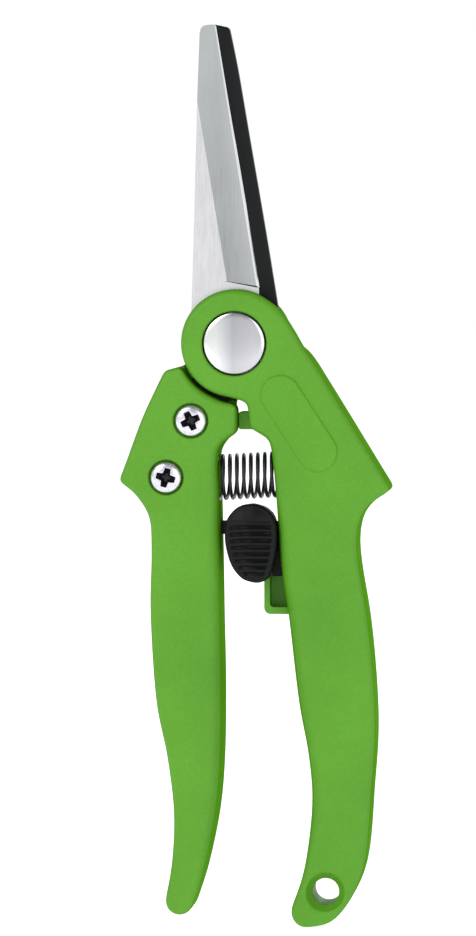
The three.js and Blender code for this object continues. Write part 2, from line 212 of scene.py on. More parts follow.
def noise(tree, coords, scale, detail=3.0, rough=0.5):
    node = add_node(tree, "ShaderNodeTexNoise", Scale=scale, Detail=detail, Roughness=rough)
    link(tree, coords, "Vector", node, "Vector")
    return node


def ramp(tree, source, stops, out="Fac"):
    node = tree.nodes.new("ShaderNodeValToRGB")
    elements = node.color_ramp.elements
    while len(elements) < len(stops):
        elements.new(0.5)
    for element, (at, colour) in zip(elements, stops):
        element.position = at
        element.color = (*colour, 1) if len(colour) == 3 else colour
    link(tree, source, out, node, "Fac")
    return node


def grey(v):
    return (v, v, v)


def bump(tree, height, strength, distance, bsdf, out="Fac", before=None):
    node = add_node(tree, "ShaderNodeBump", Strength=strength, Distance=distance)
    link(tree, height, out, node, "Height")
    if before:
        link(tree, before, "Normal", node, "Normal")
    link(tree, node, "Normal", bsdf, "Normal")
    return node


def moulded_plastic(name, dark, mid, light, rough, grain, specular=0.5):
    """Moulded plastic: slow colour drift, fine grain, and faint rub marks in its gloss."""
    material, tree, bsdf = nodes_of(name)
    coords = object_coords(tree)
    drift = noise(tree, coords, 0.035, 4.0, 0.55)
    tint = ramp(tree, drift, [(0.3, dark), (0.5, mid), (0.72, light)])
    speckle = noise(tree, coords, 2.4, 2.0)
    speck = ramp(tree, speckle, [(0.3, grey(0.93)), (0.7, grey(1.06))])
    mixed = add_node(tree, "ShaderNodeMix", data_type="RGBA", blend_type="MULTIPLY")
    mixed.inputs["Factor"].default_value = 1.0
    tree.links.new(tint.outputs["Color"], mixed.inputs["A"])
    tree.links.new(speck.outputs["Color"], mixed.inputs["B"])
    tree.links.new(mixed.outputs["Result"], bsdf.inputs["Base Color"])
    rub = noise(tree, object_coords(tree, (1, 1, 0.25)), 0.5, 6.0, 0.7)
    gloss = ramp(tree, rub, [(0.3, grey(rough - 0.06)), (0.7, grey(rough + 0.08))])
    link(tree, gloss, "Color", bsdf, "Roughness")
    fine = noise(tree, coords, 5.5, 3.0, 0.6)
    wave = noise(tree, coords, 0.12, 2.0)
    soft = bump(tree, wave, 0.25, 0.0004, bsdf)
    bump(tree, fine, grain, 0.00004, bsdf, before=soft)
    bsdf.inputs["Specular IOR Level"].default_value = specular
    return material


def brushed(name, low, high, rough, along, strength=0.25, metallic=1.0, streak=3.0):
    """Steel with fine parallel marks along one axis: small scale along it, large across."""
    material, tree, bsdf = nodes_of(name)
    lines = noise(tree, object_coords(tree, along), streak, 5.0, 0.65)
    cloud = noise(tree, object_coords(tree), 0.08, 3.0)
    colour = ramp(tree, lines, [(0.3, low), (0.7, high)])
    shade = ramp(tree, cloud, [(0.3, grey(0.94)), (0.7, grey(1.0))])
    mixed = add_node(tree, "ShaderNodeMix", data_type="RGBA", blend_type="MULTIPLY")
    mixed.inputs["Factor"].default_value = 1.0
    tree.links.new(colour.outputs["Color"], mixed.inputs["A"])
    tree.links.new(shade.outputs["Color"], mixed.inputs["B"])
    tree.links.new(mixed.outputs["Result"], bsdf.inputs["Base Color"])
    gloss = ramp(tree, lines, [(0.3, grey(rough - 0.05)), (0.7, grey(rough + 0.08))])
    link(tree, gloss, "Color", bsdf, "Roughness")
    bump(tree, lines, strength, 0.00003, bsdf)
    bsdf.inputs["Metallic"].default_value = metallic
    return material


def polished_with_painted_reflection(name, left, middle, right):
    """Polished steel whose base colour carries a painted reflection: soft upright stripes, as a pale room
    would leave on it.
    """
    material, tree, bsdf = nodes_of(name)
    coords = object_coords(tree, (1 / (2 * BOLT_HEAD_R), 1, 1))
    coords.inputs["Location"].default_value = (0.5, 0, 0)
    split = add_node(tree, "ShaderNodeSeparateXYZ")
    link(tree, coords, "Vector", split, "Vector")
    painted_reflection_stripes = ramp(tree, split, [(0.2, left), (0.48, middle), (0.8, right)], "X")
    link(tree, painted_reflection_stripes, "Color", bsdf, "Base Color")
    wipes = noise(tree, object_coords(tree, (1, 1, 0.3)), 1.2, 5.0, 0.7)
    gloss = ramp(tree, wipes, [(0.3, grey(0.14)), (0.7, grey(0.22))])
    link(tree, gloss, "Color", bsdf, "Roughness")
    bsdf.inputs["Metallic"].default_value = 1.0
    return material


GREEN = moulded_plastic(
    "green_plastic", (0.070, 0.246, 0.009), (0.080, 0.272, 0.011), (0.091, 0.298, 0.015), 0.50, 0.2, 0.3
)
# a darker copy of the green without gloss, for the side walls: painted shade, since the walls look darker
# from how light falls, not from their finish
GREEN_SHADED_SIDES = moulded_plastic(
    "green_plastic_shaded_sides", (0.066, 0.226, 0.008), (0.074, 0.250, 0.010), (0.084, 0.274, 0.014), 0.9, 0.2, 0.0
)
# near-black steel that stands for painted shade, laid in the screws' cross recesses and in the slot where the
# blade's grind ends
PAINTED_SHADE_STEEL = brushed("painted_shade_steel", (0.006, 0.006, 0.010), (0.016, 0.016, 0.026), 0.4, (1, 1, 1), 0.2, 0.4)
LOCK_BLACK = moulded_plastic(
    "lock_black", (0.0016, 0.0018, 0.002), (0.0022, 0.0025, 0.0027), (0.0036, 0.004, 0.0043), 0.45, 0.35, 0.17
)
COATING = moulded_plastic(
    "black_coating", (0.0018, 0.0026, 0.003), (0.003, 0.004, 0.0045), (0.006, 0.0075, 0.008), 0.36, 0.4, 0.16
)
GROUND = brushed("ground_steel", (0.27, 0.285, 0.29), (0.315, 0.33, 0.335), 0.32, (1.0, 1.0, 0.05), 0.12)
FLAT_STEEL = brushed("flat_steel", (0.60, 0.60, 0.615), (0.65, 0.65, 0.665), 0.26, (1.0, 1.0, 0.05), 0.06)
# far paler than the flat steel: the honed micro bevel and the sides are real, but their brightness is partly
# a painted highlight
EDGE_STEEL_HIGHLIGHT = brushed("edge_steel_highlight", (0.84, 0.85, 0.86), (0.94, 0.95, 0.96), 0.18, (1, 1, 0.1), 0.1)
# left to right across the head: painted reflection, pale at the left, darkest just left of centre, lighter at
# the right
BOLT_STEEL = polished_with_painted_reflection("bolt_steel", (0.73, 0.74, 0.735), (0.45, 0.45, 0.487), (0.53, 0.53, 0.56))
ZINC = brushed("zinc_plate", (0.56, 0.55, 0.62), (0.80, 0.79, 0.85), 0.24, (1, 1, 1), 0.3, 1.0, 1.2)
SPRING_STEEL = brushed(
    "spring_wire", (0.010, 0.010, 0.015), (0.022, 0.022, 0.030), 0.34, (0.4, 1, 1), 0.2, 0.5
)

# ---------------------------------------------------------------- mesh building


def make(name, verts, faces, materials, smooth=None):
    """An object from points in mm. Faces meeting at more than smooth degrees stay sharp."""
    mesh = bpy.data.meshes.new(name)
    mesh.from_pydata([(x * MM, y * MM, z * MM) for x, y, z in verts], [], faces)
    mesh.validate()
    for material in materials if isinstance(materials, (list, tuple)) else [materials]:
        mesh.materials.append(material)
    obj = bpy.data.objects.new(name, mesh)
    bpy.context.scene.collection.objects.link(obj)
    tidy(obj)
    if smooth:
        shade(obj, smooth)
    return obj


def tidy(obj):
    bm = bmesh.new()
    bm.from_mesh(obj.data)
    bmesh.ops.remove_doubles(bm, verts=bm.verts, dist=1e-7)
    bmesh.ops.recalc_face_normals(bm, faces=bm.faces)
    bm.to_mesh(obj.data)
    bm.free()


def shade(obj, angle):
    mesh = obj.data
    mesh.polygons.foreach_set("use_smooth", [True] * len(mesh.polygons))
    mesh.set_sharp_from_angle(angle=math.radians(angle))


def apply(obj):
    """The modifiers' result as the object's own mesh."""
    graph = bpy.context.evaluated_depsgraph_get()
    mesh = bpy.data.meshes.new_from_object(obj.evaluated_get(graph))
    old = obj.data
    obj.modifiers.clear()
    obj.data = mesh
    mesh.name = obj.name
    bpy.data.meshes.remove(old)


def boolean(obj, other, operation="DIFFERENCE", transfer=False):
    modifier = obj.modifiers.new("boolean", "BOOLEAN")
    modifier.material_mode = "TRANSFER" if transfer else "INDEX"
    modifier.operation = operation
    modifier.solver = "EXACT"
    modifier.object = other
    apply(obj)
    mesh = other.data
    bpy.data.objects.remove(other)
    bpy.data.meshes.remove(mesh)


def round_edges(obj, width, segments=2, angle=30):
    modifier = obj.modifiers.new("round", "BEVEL")
    modifier.width = width * MM
    modifier.segments = segments
    modifier.limit_method = "ANGLE"
    modifier.angle_limit = math.radians(angle)
    modifier.harden_normals = False
    apply(obj)


def weighted(obj):
    modifier = obj.modifiers.new("weighted", "WEIGHTED_NORMAL")
    modifier.keep_sharp = True
    modifier.weight = 80


def lathe(name, profile, at, material, segments=96, smooth=35):
    """A closed profile of (radius, depth) turned round an axis along Y through at."""
    verts, faces, rings = [], [], []
    for r, y in profile:
        if r < 1e-6:
            verts.append((at[0], y, at[1]))
            rings.append([len(verts) - 1] * segments)
            continue
        ring = []
        for k in range(segments):
            a = 2 * math.pi * k / segments
            verts.append((at[0] + r * math.cos(a), y, at[1] + r * math.sin(a)))
            ring.append(len(verts) - 1)
        rings.append(ring)
    pairs = list(zip(rings, rings[1:]))
    if profile[0][0] > 1e-6:
        pairs.append((rings[-1], rings[0]))
    for low, high in pairs:
        for k in range(segments):
            n = (k + 1) % segments
            face = [low[k], low[n], high[n], high[k]]
            unique = list(dict.fromkeys(face))
            if len(unique) > 2:
                faces.append(unique)
    return make(name, verts, faces, material, smooth)


def prism(name, outline, y0, y1, material=None, smooth=None):
    count = len(outline)
    verts = [(x, y0, z) for x, z in outline] + [(x, y1, z) for x, z in outline]
    faces = [list(range(count)), list(range(2 * count - 1, count - 1, -1))]
    faces += [[i, i + count, (i + 1) % count + count, (i + 1) % count] for i in range(count)]
    return make(name, verts, faces, material or GREEN, smooth)


def block(x0, x1, y0, y1, z0, z1, material=None):
    return prism("block", [(x0, z0), (x1, z0), (x1, z1), (x0, z1)], y0, y1, material)


def inward(outline, radius_at):
    """(inward normals, fillet radius at each point of a counter-clockwise outline)."""
    ahead, behind = np.roll(outline, -1, 0), np.roll(outline, 1, 0)
    tangent = ahead - behind
    tangent /= np.linalg.norm(tangent, axis=1)[:, None]
    normal = np.stack([-tangent[:, 1], tangent[:, 0]], 1)
    step = np.linalg.norm(ahead - outline, axis=1)
    t0, t1 = outline - behind, ahead - outline
    turn = np.arctan2(t0[:, 0] * t1[:, 1] - t0[:, 1] * t1[:, 0], (t0 * t1).sum(1))
    radius = np.array([radius_at(p, n) for p, n in zip(outline, normal)])
    limit = np.where(turn > 1e-4, 0.6 * step / np.maximum(turn, 1e-4), 99)
    radius = np.minimum(radius, limit)
    reach = int(2.0 / step.mean())
    low = radius.copy()
    for k in range(1, reach + 1):
        near = np.minimum(np.roll(radius, k), np.roll(radius, -k)) + 0.25 * k * step.mean()
        low = np.minimum(low, near)
    soft = low
    for _ in range(30):
        soft = soft * 0.5 + (np.roll(soft, 1) + np.roll(soft, -1)) * 0.25
    return normal, np.minimum(soft, low * 1.05)


def distances(points, loop):
    """How far each point is from a closed loop of points."""
    a, b = loop, np.roll(loop, -1, 0)
    ab = b - a
    best = np.full(len(points), 1e9)
    for s in range(0, len(points), 400):
        p = points[s : s + 400]
        ap = p[:, None] - a[None]
        t = np.clip((ap * ab).sum(2) / (ab * ab).sum(1), 0, 1)
        best[s : s + 400] = np.linalg.norm(ap - t[:, :, None] * ab, axis=2).min(1)
    return best


def inside(points, loop):
    x, y = points[:, 0][:, None], points[:, 1][:, None]
    a, b = loop, np.roll(loop, -1, 0)
    crosses = (a[:, 1] > y) != (b[:, 1] > y)
    at = (b[:, 0] - a[:, 0]) * (y - a[:, 1]) / (b[:, 1] - a[:, 1] + 1e-12) + a[:, 0]
    return (crosses & (x < at)).sum(1) % 2 == 1


def shell(name, outline, side, radius_at, face=HALF, base=PARTING, crown=CROWN, spacing=1.1,
          loops=(), relief=None, material=None, steps=8, lip=0.12):
    """A moulded half: flat at y = base, walls, a rounded edge and a gently crowned face.
    side is -1 for the front. loops are extra outlines in the face, and relief adds height."""
    outline = np.array(outline, float)
    area = (outline[:, 0] * np.roll(outline[:, 1], -1) - np.roll(outline[:, 0], -1) * outline[:, 1]).sum()
    if area < 0:
        outline = outline[::-1]
    normal, radius = inward(outline, radius_at)
    count, top = len(outline), face - crown
    levels = [(base, np.full(count, lip)), (base + lip, np.zeros(count))]
    for k in range(steps + 1):
        a = math.pi / 2 * k / steps
        levels.append((top - radius * (1 - math.sin(a)), radius * (1 - math.cos(a))))
    verts, faces = [], [list(range(count))]
    for depth, inset in levels:
        ring = outline + normal * inset[:, None]
        for (x, z), y in zip(ring, np.broadcast_to(depth, count)):
            verts.append((x, side * y, z))
    for k in range(len(levels) - 1):
        for i in range(count):
            n = (i + 1) % count
            faces.append([k * count + i, k * count + n, (k + 1) * count + n, (k + 1) * count + i])
    rim = outline + normal * radius[:, None]
    start = (len(levels) - 1) * count
    low, high = rim.min(0), rim.max(0)
    xs, zs = np.arange(low[0], high[0], spacing), np.arange(low[1], high[1], spacing * 0.87)
    grid = np.array([(x + (j % 2) * spacing / 2, z) for j, z in enumerate(zs) for x in xs])
    grid = grid[inside(grid, rim)]
    for loop in [rim] + [np.array(one) for one in loops]:
        grid = grid[distances(grid, loop) > spacing * 0.45]
    cap, edges = [tuple(p) for p in rim], [(i, (i + 1) % count) for i in range(count)]
    for loop in loops:
        first = len(cap)
        cap += [tuple(p) for p in loop]
        edges += [(first + i, first + (i + 1) % len(loop)) for i in range(len(loop))]
    cap += [tuple(p) for p in grid]
    flat, _, tris, origin, _, _ = delaunay_2d_cdt([Vector(p) for p in cap], edges, [], 0, 1e-5, True)
    flat, tris = np.array([tuple(p) for p in flat]), np.array([list(t) for t in tris])
    tris = tris[inside(flat[tris].mean(1), rim)]
    rise = distances(flat, rim)
    height = top + crown * (1 - np.exp(-rise / 3.2))
    if relief:
        height = height + relief(flat, rise)
    index = {}
    for i, source in enumerate(origin):
        rims = [s for s in source if s < count]
        if rims:
            index[i] = start + rims[0]
        else:
            verts.append((flat[i][0], side * height[i], flat[i][1]))
            index[i] = len(verts) - 1
    faces += [[index[i] for i in tri] for tri in tris]
    obj = make(name, verts, faces, [material, material] if material else [GREEN, GREEN_SHADED_SIDES])
    # faces turned away from the front get the darker copy: painted shade on the side walls
    limit = math.sin(math.radians(38))
    for poly in obj.data.polygons:
        poly.material_index = int(abs(poly.normal.y) < limit)
    return obj


def finish_piece(obj, body, node, angle=32, weight=True):
    shade(obj, angle)
    if weight:
        weighted(obj)
    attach(obj, body)
    if node:
        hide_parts(node)


# ---------------------------------------------------------------- handles


def handle_radius(inner_side):
    """The long inner edges of the grips are rounded more than the outer ones."""

    def radius_at(p, n):
        facing = max(0.0, -n[0] * inner_side)
        fade = min(1.0, max(0.0, (-20 - p[1]) / 2)) * 0.35 + min(1.0, max(0.0, (-33 - p[1]) / 6)) * 0.65
        fade *= min(1.0, max(0.0, (p[1] + 112) / 12))
        return 1.4 + 1.8 * facing * fade

    return radius_at


def cone(at, side, profile):
    """A turned cutter given as (radius, depth below the face), reaching out of the face."""
    points = [(0, HALF + 3), (profile[0][0], HALF + 3)] + [(r, HALF - d) for r, d in profile]
    points.append((0, HALF - profile[-1][1]))
    return lathe("cutter", [(r, side * y) for r, y in points], at, GREEN, 72)


def blend_step(d, width):
    t = np.clip(d / width, 0, 1)
    return t * t * (3 - 2 * t)


PAD_ENDS, PAD_R = ((9.8, -10.8), (17.5, -22.6)), 4.3
pad_outer = capsule(*PAD_ENDS, PAD_R)
pad_inner = capsule(*PAD_ENDS, PAD_R - 0.3)


def capsule_depth(points, ends, radius):
    a, b = np.array(ends[0]), np.array(ends[1])
    ab = b - a
    t = np.clip(((points - a) @ ab) / (ab @ ab), 0, 1)
    return radius - np.linalg.norm(points - (a + t[:, None] * ab), axis=1)


def right_relief(points, rise):
    return 0.3 * np.clip(capsule_depth(points, PAD_ENDS, PAD_R) / 0.3, 0, 1)


def spring_seat(at, direction):
    """The round well for one end of the spring, round the peg that centres it."""
    floor = at[0] - direction * (WIRE_R + 0.15)
    inner, outer = SPRING_R - 1.0, SPRING_R + 0.5
    profile = [(inner, 0), (outer, 0), (outer, 6), (0, 6), (0, 3.2), (inner - 0.5, 3.2), (inner, 2.7)]
    well = lathe("well", profile, (0, 0), GREEN, 57)
    turn = Matrix.Rotation(-direction * math.pi / 2, 4, "Z")
    well.data.transform(Matrix.Translation((floor * MM, 0, at[1] * MM)) @ turn)
    return well


def add_all(obj, parts):
    for part in parts:
        boolean(obj, part, "UNION")


def cut_all(obj, parts):
    for part in parts:
        boolean(obj, part)


def bore_flare(side, radius, y_in):
    """A round hole whose rim at the face is rounded."""
    flare = [(radius + 0.3, 0.3), (radius + 0.12, 0.42), (radius + 0.03, 0.6), (radius, 0.9), (radius, 3.0)]
    points = [(0, HALF + 3), (radius + 0.3, HALF + 3)] + [(r, HALF - d) for r, d in flare]
    points += [(radius - 0.2, HALF - 3.1), (radius - 0.2, y_in), (0, y_in)]
    return lathe("bore", [(r, side * y) for r, y in points], (0, 0), GREEN, 128)


SCREW_WELL = [(3.85, 0.0), (3.85, 0.3), (3.72, 0.42), (3.62, 0.6), (3.6, 1.4)]
HANG_WELL = [(4.35, 0.25), (4.1, 0.4), (3.9, 0.65), (3.75, 1.0), (2.95, 1.75), (2.8, 2.0), (2.8, 7.2)]

LUG = [(0.6, -18.1), (5.8, -18.1), (5.8, -14.4), (0.6, -14.4)]

# right handle, front shell
right_front = shell(
    "right_handle_front_shell", even(right_front_outline, 0.5, 6), -1, handle_radius(-1),
    loops=[pad_outer, pad_inner], relief=right_relief,
)
cut_all(right_front, [spring_seat(SPRING_RIGHT, -1)])
lug = shell("lug", even(LUG, 0.2, 6), -1, lambda p, n: 0.2, face=2.6, crown=0.05, spacing=0.5, lip=0.02)
tray_corner = arc((7.2, -55.7), 1.3, 180, 270, 12)
tray_inner = arc((7.95, -54.7), 0.8, 270, 180, 15)
tray_front = prism("tray", tray_corner + [(12.6, -57), (12.6, -55.5)] + tray_inner
                   + [(TRAY_WALL, -49.5), (6.9, TRAY_TOP), (6.2, -49.1), (5.9, -49.6)], -1.4, -PARTING)
round_edges(tray_front, 0.18, 2)
add_all(right_front, [lug, tray_front])
cut_all(right_front, [
    lathe("hub", [(0, -RING_INNER), (ARC_R, -RING_INNER), (ARC_R, 1), (0, 1)], (0, 0), GREEN, 128),
    bore_flare(-1, RING_BORE_R, 0.5),
    block(2, 40, -RING_INNER, 1, -0.9, 20),
    prism("tang", capsule(*RIGHT_TANG, TANG_R + 0.2), -2.1, 1),
    block(6, 11.7, -1, 1, -48.4, -36),
    cone(HANG, -1, HANG_WELL),
])
finish_piece(right_front, "right_handle", "right_handle_front")

# right handle, back shell
right_back = shell("right_handle_back_shell", even(right_back_outline, 0.5, 6), 1, handle_radius(-1))
cut_all(right_back, [spring_seat(SPRING_RIGHT, -1)])
lug = shell("lug", even(LUG, 0.2, 6), 1, lambda p, n: 0.2, face=2.6, crown=0.05, spacing=0.5, lip=0.02)
tray_top = [(12.6, -57), (12.6, -48.6), (7.2, -48.6), (6.2, TRAY_TOP), (5.9, -49.6)]
tray_back = prism("tray", tray_corner + tray_top, PARTING, 3.2)
pocket = [(14, -55.5), (14, -48), (5.5, -48), (5.5, TRAY_TOP), (TRAY_WALL, TRAY_TOP)] + tray_inner[::-1]
boolean(tray_back, prism("pocket", pocket, -1, 1.9))
round_edges(tray_back, 0.18, 2)
add_all(right_back, [lug, tray_back])
cut_all(
    right_back,
    [block(6, 11.7, -1, 1, -48.4, -36), cone(HANG, 1, HANG_WELL)]
    + [cone(at, 1, SCREW_WELL) for at in RIGHT_SCREWS],
)
finish_piece(right_back, "right_handle", "right_handle_back")

# left handle, front shell
left_front = shell("left_handle_front_shell", even(left_front_outline, 0.5, 4), -1, handle_radius(1))
cut_all(left_front, [spring_seat(SPRING_LEFT, 1)])
cut_all(
    left_front,
    [block(-9.3, 0, -1.4, 1, -40.3, -37.3)] + [cone(at, -1, SCREW_WELL) for at in LEFT_SCREWS],
)
finish_piece(left_front, "left_handle", "left_handle_front")

# left handle, back shell
left_back = shell("left_handle_back_shell", even(left_back_outline, 0.5, 6), 1, handle_radius(1))
cut_all(left_back, [spring_seat(SPRING_LEFT, 1)])
cut_all(left_back, [
    lathe("hub", [(0, -1), (ARC_R, -1), (ARC_R, RING_INNER), (0, RING_INNER)], (0, 0), GREEN, 128),
    bore_flare(1, RING_BORE_R, 0.5),
    prism("tang", capsule(*LEFT_TANG, TANG_R + 0.2), -1, 2.1),
    block(-9.3, 0, -1, 1.4, -40.3, -37.3),
])
finish_piece(left_back, "left_handle", "left_handle_back")

# ---------------------------------------------------------------- blades


def blade(name, outline, y0, y1, tang, screws, grinds):
    body = prism(name, outline, y0, y1, FLAT_STEEL)
    body.data.materials.append(GROUND)
    body.data.materials.append(EDGE_STEEL_HIGHLIGHT)
    add_all(body, [lathe("hub", [(0, y0), (HUB_R, y0), (HUB_R, y1), (0, y1)], (0, 0), FLAT_STEEL, 128)])
    add_all(body, [prism("tang", capsule(*tang, TANG_R), y0, y1, FLAT_STEEL)])
    cut_all(body, grinds)
    cut_all(body, [lathe("hole", [(0, -3), (3.08, -3), (3.08, 3), (0, 3)], (0, 0), FLAT_STEEL, 64)])
    for at in screws:
        cut_all(body, [lathe("hole", [(0, -3), (1.95, -3), (1.95, 3), (0, 3)], at, FLAT_STEEL, 32)])
    return body


def grind_box(low, high, edge, region):
    """The solid in front of the ground face through two points and one on the edge."""
    low, high, edge = (Vector(v) for v in (low, high, edge))
    up = (high - low).normalized()
    out = (edge - low).cross(up).normalized()
    if out.y * low.y < 0:
        out = -out
    across = out.cross(up)
    box = prism("grind", [(-80, -25), (80, -25), (80, 25), (-80, 25)], 0, 5)
    basis = Matrix((up, out, across)).transposed().to_4x4()
    box.data.transform(Matrix.Translation(low * MM) @ basis)
    boolean(box, prism("region", region, -6, 6), "INTERSECT")
    return box


def paint_blade(obj, plain, ground, edge):
    """Gives the flat faces, the ground face, the narrow edges and the end slot a material each. The slot is a
    painted shadow, and the narrow edges are partly a painted highlight.
    """
    obj.data.materials.clear()
    for material in (plain, ground, edge, PAINTED_SHADE_STEEL):
        obj.data.materials.append(material)
    for face in obj.data.polygons:
        tilt, at = abs(face.normal.y), face.center / MM
        # faces of the slot where the grind ends get the near-black steel: a painted shadow line
        shadow_groove = abs(at.z - 12.2 + 0.19 * (at.x - 1.6)) < 0.5 and -2.5 < at.x < 5.7
        if shadow_groove and (tilt < 0.5 or face.area < 4e-6):
            face.material_index = 3
        elif tilt > 0.9995:
            face.material_index = 0
        else:
            # steep faces get the edge material: partly a painted highlight along the edges
            face.material_index = 1 if tilt > 0.9 else 2


front_outline = [(4.9, 6), (4.85, 11.3)]
front_outline += spline(
    (4.85, 11.3), [(3.5, 20.2), (1.75, 30.6), (0.05, 40.6), (-1.25, 48), (-4.3, 66.3)], 10
)
front_outline += [(-4.55, 66.65), (-5.0, 66.76), (-6.5, 66.62), (-7.1, 66.35), (-7.5, 65.8), (-7.7, 64.9)]
front_outline += spline((-7.7, 64.9), [(-8.2, 49.2), (-8.85, 24.1), (-9.35, 7.5)], 8)
front_outline += [(-9.9, 2)]
front_blade = blade(
    "front_blade_ground", front_outline, -BLADE_FAR, -BLADE_NEAR, RIGHT_TANG, RIGHT_SCREWS,
    [
        grind_box((-1.9, -BLADE_FAR, 13), (-7.9, -BLADE_FAR, 49), (2.1, -0.5, 30.6),
                  [(-2.6, 13.0), (8, 11.0), (12, 70), (-14, 70), (-14, 40)]),
        grind_box((3.1, -0.75, 18.5), (-3.45, -0.89, 58.0), (1.75, -0.12, 30.6),
                  [(-2.6, 13.0), (8, 11.0), (12, 70), (-14, 70), (-14, 40)]),
        # a thin slot, cut only to carry the painted shadow line where the grind ends
        prism("shadow_groove", [(-2.3, 12.93), (5.6, 11.42), (5.6, 11.74), (-2.3, 13.0)], -3, -0.5),
    ],
)
paint_blade(front_blade, FLAT_STEEL, GROUND, EDGE_STEEL_HIGHLIGHT)
round_edges(front_blade, 0.07, 1, 20)
finish_piece(front_blade, "right_handle", "front_blade", 15, False)

back_outline = [(0.4, 8), (9.9, 3.5), (8.6, 8.1)]
back_outline += spline((8.6, 8.1), [(6.7, 19.8), (4.6, 32.1), (2.6, 43.6), (0.3, 57), (-1.4, 65.4)], 8)
back_outline += [(-1.6, 65.95), (-2.1, 66.25), (-4.4, 66.72), (-5.0, 66.7), (-5.35, 66.45), (-5.5, 66.0)]
back_outline += spline((-5.5, 66.0), [(-3.2, 46), (-1.3, 30), (0.2, 14)], 8)
back_blade = blade(
    "back_blade_coated", back_outline, BLADE_NEAR, BLADE_FAR, LEFT_TANG, LEFT_SCREWS,
    [
        grind_box((1.9, BLADE_FAR, 14), (-2.6, BLADE_FAR, 60), (-1.3, 0.9, 30),
                  [(-8, 15), (6, 13.5), (8, 68), (-12, 68)]),
    ],
)
round_edges(back_blade, 0.12, 2, 20)
paint_blade(back_blade, COATING, COATING, COATING)
finish_piece(back_blade, "left_handle", "back_blade", 25, False)

# ---------------------------------------------------------------- pivot

bolt = lathe("pivot_bolt_head", [
    (0, -6.74), (1.5, -6.735), (3.0, -6.71), (4.4, -6.66), (5.4, -6.6), (6.05, -6.52), (6.3, -6.42),
    (6.42, -6.25), (BOLT_HEAD_R, -6.0), (BOLT_HEAD_R, -2.05), (3.0, -2.05), (3.0, 6.4), (2.9, 6.65),
    (2.6, 6.9), (2.2, 6.98), (0, 6.98),
], (0, 0), BOLT_STEEL, 128)
finish_piece(bolt, "right_handle", "pivot_bolt", 30)

washer = lathe("pivot_washer_ring", [
    (3.1, 2.12), (3.2, 2.05), (6.1, 2.05), (6.25, 2.12), (6.3, 2.3), (6.3, 2.9), (6.24, 3.08), (6.1, 3.15),
    (3.3, 3.15), (3.14, 3.08),
], (0, 0), ZINC, 96)
finish_piece(washer, "right_handle", "pivot_washer", 40)

NUT_R = 5.75
corners = [(NUT_R * math.sin(math.radians(60 * k)), NUT_R * math.cos(math.radians(60 * k))) for k in range(6)]
nut = prism("pivot_nut_hex", corners, 3.2, 6.7, ZINC)
boolean(nut, lathe("cap", [
    (0, 3.0), (5.0, 3.19), (5.2, 3.25), (5.8, 3.6), (5.8, 5.35), (5.0, 5.8), (4.75, 5.95), (4.6, 6.3),
    (4.3, 6.62), (3.9, 6.7), (0, 6.7),
], (0, 0), ZINC, 96), "INTERSECT")
boolean(nut, lathe("hole", [(0, 2), (3.1, 2), (3.1, 6.3), (3.4, 6.75), (3.4, 8), (0, 8)], (0, 0), ZINC, 64))
round_edges(nut, 0.1, 2, 35)
finish_piece(nut, "right_handle", "pivot_nut", 35)

# ---------------------------------------------------------------- screws


def plus_outline(arm, width, turn, scale=1.0):
    points = []
    for k in range(4):
        a = math.radians(90 * k + turn)
        c, s = math.cos(a), math.sin(a)
        for u, v in ((arm, -width), (arm, width), (width * 1.25, width * 1.25)):
            points.append((scale * (u * c - v * s), scale * (u * s + v * c)))
    return points


def screw(name, at, side, turn, body, node):
    seat = SCREW_SEAT + 0.03
    head = lathe(name, [(r, side * y) for r, y in [
        (0, seat + 2.1), (1.0, seat + 2.08), (1.9, seat + 2.0), (2.55, seat + 1.86), (2.95, seat + 1.66),
        (3.2, seat + 1.36), (3.34, seat + 0.95), (3.36, seat + 0.4), (3.3, seat + 0.02), (3.1, seat),
        (1.75, seat), (1.75, -3.2), (0.5, -4.25), (0, -4.25)]], at, ZINC, 72)
    top, floor = plus_outline(2.2, 0.66, turn), plus_outline(2.2, 0.66, turn, 0.4)
    count = len(top)
    verts = [(at[0] + x * 1.06, side * (seat + 2.4), at[1] + z * 1.06) for x, z in top]
    verts += [(at[0] + x, side * (seat + 0.35), at[1] + z) for x, z in floor]
    faces = [list(range(count)), list(range(2 * count - 1, count - 1, -1))]
    faces += [[i, (i + 1) % count, (i + 1) % count + count, i + count] for i in range(count)]
    # the cross recess takes the near-black steel: painted shade in the recess
    boolean(head, make("recess", verts, faces, PAINTED_SHADE_STEEL), transfer=True)
    round_edges(head, 0.09, 2, 40)
    finish_piece(head, body, node, 38)


screw("left_screw_upper_pan", LEFT_SCREWS[0], -1, 24, "left_handle", "left_screw_upper")
screw("left_screw_lower_pan", LEFT_SCREWS[1], -1, -14, "left_handle", "left_screw_lower")
screw("right_screw_upper_pan", RIGHT_SCREWS[0], 1, 10, "right_handle", "right_screw_upper")
screw("right_screw_lower_pan", RIGHT_SCREWS[1], 1, 52, "right_handle", "right_screw_lower")

# ---------------------------------------------------------------- spring


